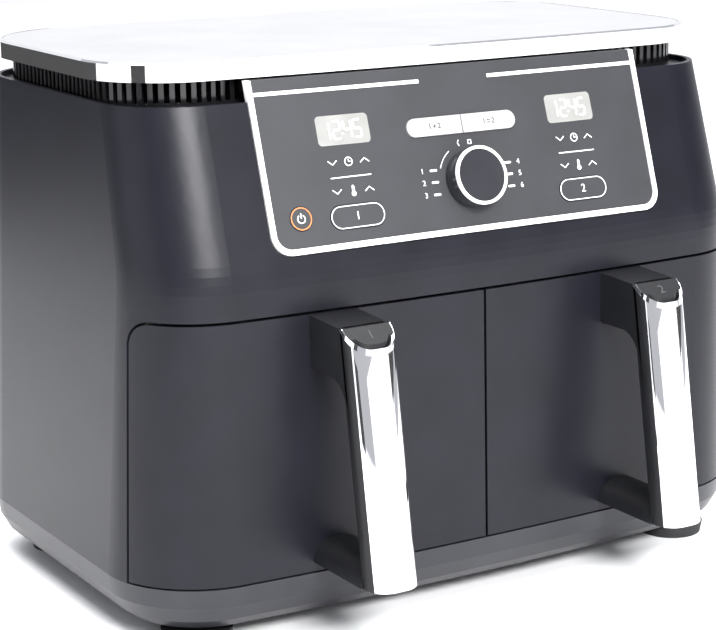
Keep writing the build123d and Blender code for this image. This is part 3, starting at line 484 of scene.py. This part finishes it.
def pickEdges(shape, wanted):
    editing(shape, "EDGE")
    bpy.ops.mesh.select_all(action="DESELECT")
    objectMode()
    spots = shape.data.vertices
    for edge in shape.data.edges:
        edge.select = wanted(*(spots[i].co for i in edge.vertices))
    bpy.ops.object.mode_set(mode="EDIT")


def cutAway(shape, point, normal, fill=True):
    editing(shape)
    bpy.ops.mesh.bisect(plane_co=point, plane_no=normal, clear_outer=True, use_fill=fill)
    objectMode()


def gripSection(x, inset):
    width = grip["width"] - 2 * inset
    depth = grip["depth"] - 2 * inset
    middle = grip["frontBottom"] + grip["depth"] / 2
    shape = bar(x, middle, width, depth)
    for wanted, radius in ((lambda co: co.y < middle, grip["corner"] - inset * grip["cornerShare"]),
                           (lambda co: co.y > middle + depth / 4, grip["backCorner"])):
        pickVertices(shape, wanted)
        bpy.ops.mesh.bevel(offset=radius, affect="VERTICES", segments=10)
        objectMode()
    shape.location = (0, 0, grip["bottom"])
    return settled(shape)


def raised(shape, mode="FACE"):
    run = grip["high"] - grip["bottom"]
    return extruded(shape, (0, run * grip["lean"], run), mode)


def sideOutline(points):
    bpy.ops.mesh.primitive_plane_add(size=1, location=(0, 0, 0))
    shape = bpy.context.object
    editing(shape, "VERT")
    bpy.ops.mesh.merge(type="CENTER")
    bpy.ops.transform.translate(value=(0, *points[0]))
    for last, following in zip(points, points[1:]):
        step = (0, following[0] - last[0], following[1] - last[1])
        bpy.ops.mesh.extrude_region_move(TRANSFORM_OT_translate={"value": step})
    bpy.ops.mesh.select_all(action="SELECT")
    bpy.ops.mesh.edge_face_add()
    objectMode()
    return shape


def widened(shape, x, width):
    extruded(shape, (width, 0, 0))
    shape.location = (x - width / 2, 0, 0)
    return settled(shape)


def consistent(shape):
    editing(shape)
    bpy.ops.mesh.normals_make_consistent(inside=False)
    objectMode()
    return shape


def gripArm(x):
    back = grip["frontBottom"] + grip["depth"]
    belly, low, near = arm["belly"], arm["foot"], 0.1
    corner = (back + (belly - grip["bottom"]) * grip["lean"], belly)
    foot = (back + (low - grip["bottom"]) * grip["lean"] - arm["footInside"], low)
    shape = sideOutline([(grip["root"], arm["top"]), arm["end"], arm["inside"],
                         (foot[0] - arm["footDepth"], low), foot, corner, (grip["root"], belly)])
    pickVertices(shape, lambda co: abs(co.y - corner[0]) < near and abs(co.z - belly) < near)
    bpy.ops.mesh.bevel(offset=arm["fillet"], affect="VERTICES", segments=10)
    objectMode()
    consistent(widened(shape, x, grip["width"]))

    def along(first, second):
        return abs(first.x - second.x) < near and abs(first.x - x) > grip["width"] / 2 - near

    def under(first, second):
        within = max(first.z, second.z) < belly + near and min(first.z, second.z) > low - near
        return along(first, second) and within and min(first.y, second.y) > foot[0] - near

    def over(first, second):
        return along(first, second) and min(first.z, second.z) > arm["end"][1] - near

    for wanted, radius, segments in ((under, arm["bellyRound"], 8), (over, arm["edge"], 3)):
        pickEdges(shape, wanted)
        bpy.ops.mesh.bevel(offset=radius, affect="EDGES", segments=segments, clamp_overlap=True)
        objectMode()
    return shape


def gripShell(x, reach):
    shell = gripSection(x, 0)
    editing(shell)
    bpy.ops.mesh.delete(type="ONLY_FACE")
    objectMode()
    editing(shell, "VERT")
    rear = (0, grip["frontBottom"] + reach, grip["bottom"])
    bpy.ops.mesh.bisect(plane_co=rear, plane_no=(0, 1, 0), clear_outer=True)
    objectMode()
    return raised(shell, "EDGE")


def gripStrut(x):
    back = grip["frontBottom"] + grip["depth"] - grip["strutInside"]
    bpy.ops.mesh.primitive_cylinder_add(vertices=64, radius=1, depth=grip["root"] - back,
                                        location=(x, (grip["root"] + back) / 2, grip["bottom"]),
                                        rotation=(math.radians(90), 0, 0))
    shape = bpy.context.object
    shape.scale = (grip["strutHalf"], grip["strutHeight"], 1)
    settled(shape)
    cutAway(shape, (0, 0, grip["bottom"]), (0, 0, -1))
    return shape


for number, side in ((1, -1), (2, 1)):
    x = side * grip["x"]
    behindCover = (0, grip["frontBottom"] + grip["coverDepth"] + grip["coverGap"], grip["bottom"])
    forward = Vector((0, -1, grip["lean"])).normalized()

    lobe = raised(gripSection(x, grip["coverWall"] + grip["gap"]))
    rear = raised(gripSection(x, 0))
    cutAway(rear, behindCover, forward)
    solids = [lobe, rear, gripArm(x)]
    # their sloping ends lie one just under the other
    for solid, drop in zip(solids, grip["drops"]):
        cutAway(solid, Vector(grip["slopePoint"]) - Vector(slopeNormal) * drop, slopeNormal)
        cutAway(solid, Vector(grip["slopePoint"]) - Vector((0, 0, drop)), topNormal)
        consistent(solid)
    solids.append(consistent(gripStrut(x)))
    core = joined(solids, f"grip_core_{number}")
    core.scale = (mm, mm, mm)
    finished(core, f"drawer_{number}", materials["grip_plastic"])
    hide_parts(f"grip_{number}")

    cover = gripShell(x, grip["coverDepth"])
    cutAway(cover, grip["slopePoint"], slopeNormal, fill=False)
    consistent(cover)
    applied(cover, "SOLIDIFY", thickness=grip["coverWall"], offset=-1)
    applied(cover, "BEVEL", width=grip["coverEdge"], segments=2, limit_method="ANGLE",
            angle_limit=math.radians(50))
    tail = gripShell(x, grip["tailDepth"])
    cutAway(tail, grip["slopePoint"], slopeNormal, fill=False)
    cutAway(tail, grip["slopePoint"], topNormal, fill=False)
    cutAway(tail, grip["tailPoint"], grip["tailNormal"], fill=False)
    consistent(tail)
    applied(tail, "SOLIDIFY", thickness=grip["tailWall"], offset=grip["tailOffset"])
    cover = joined([cover, tail], f"grip_blade_{number}")
    cover.scale = (mm, mm, mm)
    finished(cover, f"drawer_{number}", materials["bright_chrome"])
    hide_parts(f"grip_cover_{number}")

    cut = numeral(str(number), 0, 0, gripFigure["height"])
    applied(cut, "SOLIDIFY", thickness=gripFigure["thickness"], offset=0)
    cut.rotation_euler = (slope, 0, 0)
    spot = Vector((x, gripFigure["y"], gripFigure["z"]))
    cut.location = spot + Vector(slopeNormal) * gripFigure["lift"]
    cut = joined([settled(cut)], f"grip_figure_{number}")
    cut.scale = (mm, mm, mm)
    finished(cut, f"drawer_{number}", markPaint["dark"])
print("grips done")


# Rounded upper corners of the drawer opening, where its seam turns down the sides of the body
seamCorner = dict(back=-58.25, top=183.75, radius=14.8, step=6, low=166.0, high=186.0, lowRadius=49.43,
                  highRadius=48.25, lowShift=0.8, centre=(-151.70, -47.55), inner=-186.0, outer=-215.0)
back, top, radius = (seamCorner[k] for k in ("back", "top", "radius"))
low, high, inner, outer = (seamCorner[k] for k in ("low", "high", "inner", "outer"))
for number, side in ((1, -1), (2, 1)):
    angles = [math.radians(a) for a in range(0, 91, seamCorner["step"])]
    curve = [(back - radius + radius * math.cos(a), top - radius + radius * math.sin(a)) for a in angles]
    wedge = sideOutline(curve + [(back, top)])
    consistent(widened(wedge, (inner + outer) / 2, inner - outer))
    bpy.ops.mesh.primitive_cone_add(vertices=256, radius1=seamCorner["lowRadius"],
                                    radius2=seamCorner["highRadius"], depth=high - low,
                                    location=(*seamCorner["centre"], (high + low) / 2))
    wall = settled(bpy.context.object)
    pickVertices(wall, lambda co: co.z < (low + high) / 2)
    bpy.ops.transform.translate(value=(0, seamCorner["lowShift"], 0))
    objectMode()
    applied(wedge, "BOOLEAN", operation="INTERSECT", object=wall, solver="EXACT")
    alone(wall)
    bpy.ops.object.delete()
    wedge.name = f"seam_corner_{number}"
    wedge.scale = (-side * mm, mm, mm)
    finished(wedge, "housing", materials["charcoal_plastic"])
print("seam corners done")


# Floor, light and camera
studio = dict(floorRadius=9.0, floorTone=(0.93, 0.93, 0.94), floorRoughness=0.9, floorSpecular=0.1,
              worldTone=(0.92, 0.94, 1.0), worldStrength=0.62, cardTone=(0.02, 0.02, 0.02),
              cardRoughness=0.9)
bpy.ops.mesh.primitive_circle_add(vertices=96, radius=studio["floorRadius"], fill_type="NGON")
floor = bpy.context.object
floor.name = "floor"
floorMaterial, _, floorShader = newMaterial("floor_paper")
floorShader.inputs["Base Color"].default_value = (*studio["floorTone"], 1)
floorShader.inputs["Roughness"].default_value = studio["floorRoughness"]
floorShader.inputs["Specular IOR Level"].default_value = studio["floorSpecular"]
floor.data.materials.append(floorMaterial)

world = bpy.data.worlds.new("studio_air")
world.use_nodes = True
air = world.node_tree.nodes["Background"]
air.inputs["Color"].default_value = (*studio["worldTone"], 1)
air.inputs["Strength"].default_value = studio["worldStrength"]
bpy.context.scene.world = world
bpy.context.scene.view_settings.view_transform = "Standard"

softBoxes = [
    dict(name="overhead", place=(0.0, 0.0, 3.2), aim=(0, 0, 0), size=(3.6, 3.6), power=230),
    dict(name="backdrop", place=(1.6, 3.2, 1.25), aim=(0, 0, 0.3), size=(6.5, 2.0), power=16),
    dict(name="front_left", place=(-0.42, -2.5, 1.72), aim=(0, 0, 0.25), size=(1.1, 0.8), power=140),
    dict(name="horizon_right", place=(1.1, -3.0, 0.62), aim=(0, 0, 0.2), size=(4.6, 1.2), power=17),
    dict(name="horizon_left", place=(-3.2, 0.2, 0.5), aim=(0, 0, 0.2), size=(2.2, 1.0), power=7),
]
for box in softBoxes:
    light = bpy.data.lights.new(box["name"], "AREA")
    light.shape = "RECTANGLE"
    light.size, light.size_y = box["size"]
    light.energy = box["power"]
    lamp = bpy.data.objects.new(box["name"], light)
    lamp.location = box["place"]
    sight = Vector(box["aim"]) - Vector(box["place"])
    lamp.rotation_euler = sight.to_track_quat("-Z", "Y").to_euler()
    bpy.context.scene.collection.objects.link(lamp)

# Dark cards that draw the dark bands on the bright metal and darken the ends of the body
cardMaterial, _, cardShader = newMaterial("card_black")
cardShader.inputs["Base Color"].default_value = (*studio["cardTone"], 1)
cardShader.inputs["Roughness"].default_value = studio["cardRoughness"]
cards = [
    dict(name="card_side", place=(-0.85, 1.15, 0.26), size=(1.5, 0.50), turn=-30),
    dict(name="card_rim", place=(-1.8, -0.95, 0.30), size=(0.6, 0.6), turn=-117),
    dict(name="card_right", place=(2.4, -0.9, 0.95), size=(2.2, 1.1), turn=-70),
]
for card in cards:
    bpy.ops.mesh.primitive_plane_add(size=1, location=card["place"],
                                     rotation=(math.radians(90), 0, math.radians(-card["turn"])))
    flag = bpy.context.object
    flag.name = card["name"]
    flag.scale = (card["size"][0], card["size"][1], 1)
    flag.visible_camera = False
    flag.visible_shadow = False
    flag.data.materials.append(cardMaterial)

viewpoint = dict(place=(-0.65475, -1.06823, 0.44572), yaw=31.67, pitch=13.238, roll=-0.513,
                 focal=2146.91 / 716, shift=(-0.0544, -0.00708), sensor=36.0)
yaw, pitch, roll = (math.radians(viewpoint[k]) for k in ("yaw", "pitch", "roll"))
ahead = Vector((math.sin(yaw) * math.cos(pitch), math.cos(yaw) * math.cos(pitch),
                -math.sin(pitch)))
level = Vector((math.cos(yaw), -math.sin(yaw), 0))
upward = level.cross(ahead)
sideways = math.cos(roll) * level + math.sin(roll) * upward
upward = math.cos(roll) * upward - math.sin(roll) * level
lens = bpy.data.cameras.new("camera")
lens.sensor_width = viewpoint["sensor"]
lens.lens = viewpoint["focal"] * viewpoint["sensor"]
lens.shift_x, lens.shift_y = viewpoint["shift"]
camera = bpy.data.objects.new("camera", lens)
turn = Matrix((sideways, upward, -ahead)).transposed()
camera.matrix_world = Matrix.Translation(viewpoint["place"]) @ turn.to_4x4()
bpy.context.scene.collection.objects.link(camera)
bpy.context.scene.camera = camera
print("studio ready")
